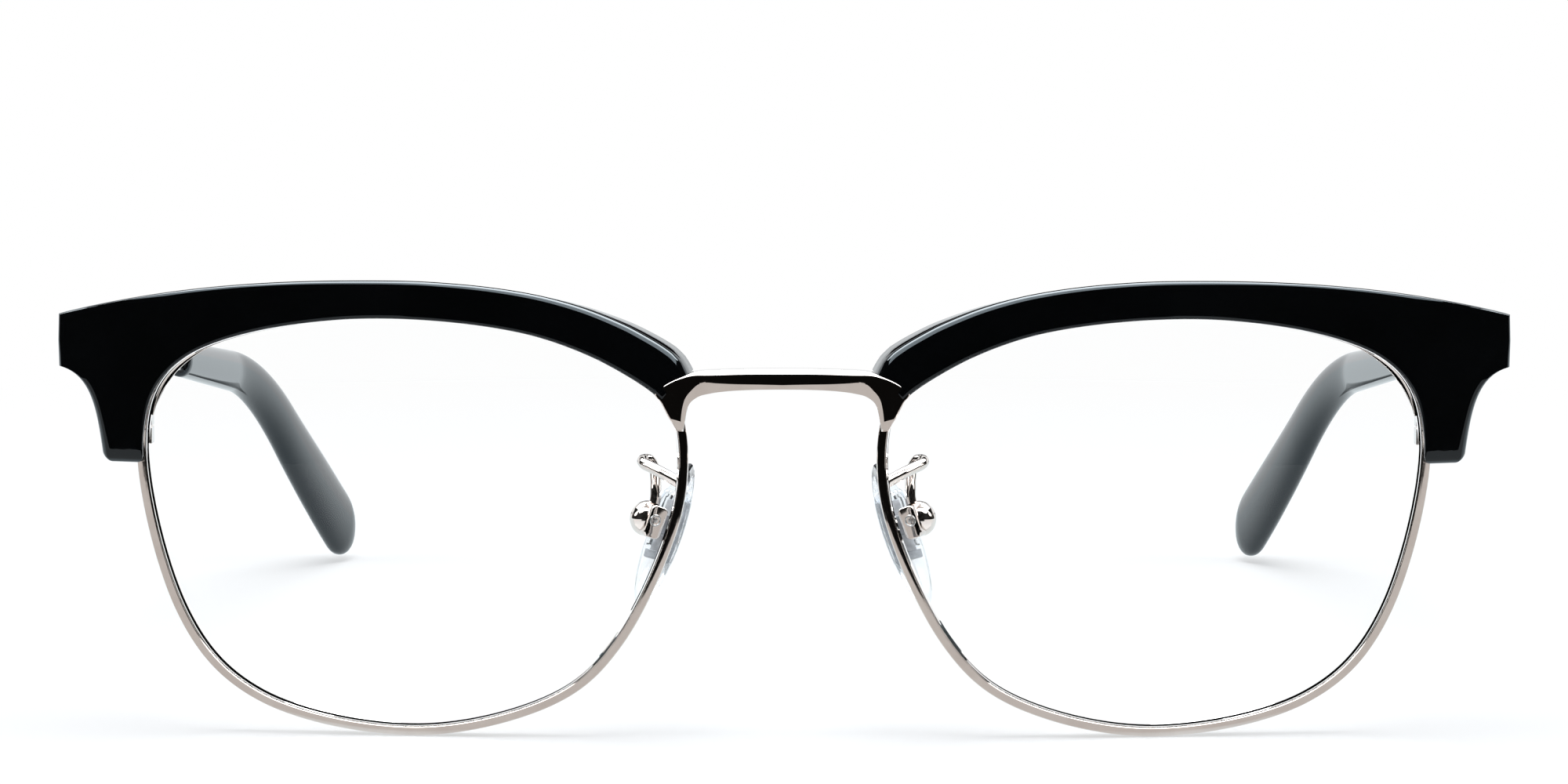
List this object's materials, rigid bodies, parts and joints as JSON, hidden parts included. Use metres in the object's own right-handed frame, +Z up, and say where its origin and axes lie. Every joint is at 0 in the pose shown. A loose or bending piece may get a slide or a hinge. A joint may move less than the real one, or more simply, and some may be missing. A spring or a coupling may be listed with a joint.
{
  "type": "browline glasses",
  "caption": "Browline spectacles: black brows over a slim metal front with clear lenses, rocking silicone nose pads and folding metal temples with black tips.",
  "frame": {"origin": "on the table, midway across and midway from front to back of the open glasses, which stand on the two rims and the two temple tips", "axes": "+Z up, +Y backwards from the front along the temples, +X towards the wearer's left"},
  "size_m": [0.1404, 0.1448, 0.0439],
  "materials": {
    "black_acetate": "polished near-black acetate",
    "polished_metal": "polished warm silver",
    "screw_steel": "turned steel",
    "clear_lens": "clear, uncoated demo lens",
    "clear_silicone": "clear soft silicone",
    "grey_insert": "grey hard plastic"
  },
  "bodies": {
    "front": {"bridge": "polished_metal", "left_brow_tab": "polished_metal", "right_brow_tab": "polished_metal", "left_eyewire": "polished_metal", "right_eyewire": "polished_metal", "left_lens": "clear_lens", "right_lens": "clear_lens", "left_brow": "black_acetate", "right_brow": "black_acetate", "left_brow_screws": "screw_steel", "right_brow_screws": "screw_steel", "left_rim_lock_upper": "polished_metal", "right_rim_lock_upper": "polished_metal", "left_rim_lock_lower": "polished_metal", "right_rim_lock_lower": "polished_metal", "left_rim_lock_screw": "screw_steel", "right_rim_lock_screw": "screw_steel", "left_end_piece": "polished_metal", "right_end_piece": "polished_metal", "left_front_hinge": "polished_metal", "right_front_hinge": "polished_metal", "left_hinge_screw": "screw_steel", "right_hinge_screw": "screw_steel", "left_pad_arm": "polished_metal", "right_pad_arm": "polished_metal", "left_pad_box": "polished_metal", "right_pad_box": "polished_metal", "left_pad_screw": "screw_steel", "right_pad_screw": "screw_steel"},
    "left_temple": {"left_temple_hinge": "polished_metal", "left_temple_bar": "polished_metal", "left_temple_tip": "black_acetate"},
    "right_temple": {"right_temple_hinge": "polished_metal", "right_temple_bar": "polished_metal", "right_temple_tip": "black_acetate"},
    "left_pad": {"left_pad_insert": "grey_insert", "left_nose_pad": "clear_silicone"},
    "right_pad": {"right_pad_insert": "grey_insert", "right_nose_pad": "clear_silicone"}
  },
  "joints": [
    {"name": "left_temple_fold", "type": "hinge", "parent": "front", "child": "left_temple", "pos_m": [0.0665, -0.05675, 0.0374], "axis": [0, 0, 1], "range_deg": [0, 87]},
    {"name": "right_temple_fold", "type": "hinge", "parent": "front", "child": "right_temple", "pos_m": [-0.0665, -0.05675, 0.0374], "axis": [0, 0, -1], "range_deg": [0, 82]},
    {"name": "left_pad_rock", "type": "hinge", "parent": "front", "child": "left_pad", "pos_m": [0.013, -0.06575, 0.0206], "axis": [0.4226, 0.9063, 0], "range_deg": [-8, 8]},
    {"name": "right_pad_rock", "type": "hinge", "parent": "front", "child": "right_pad", "pos_m": [-0.013, -0.06575, 0.0206], "axis": [-0.4226, 0.9063, 0], "range_deg": [-8, 8]}
  ]
}
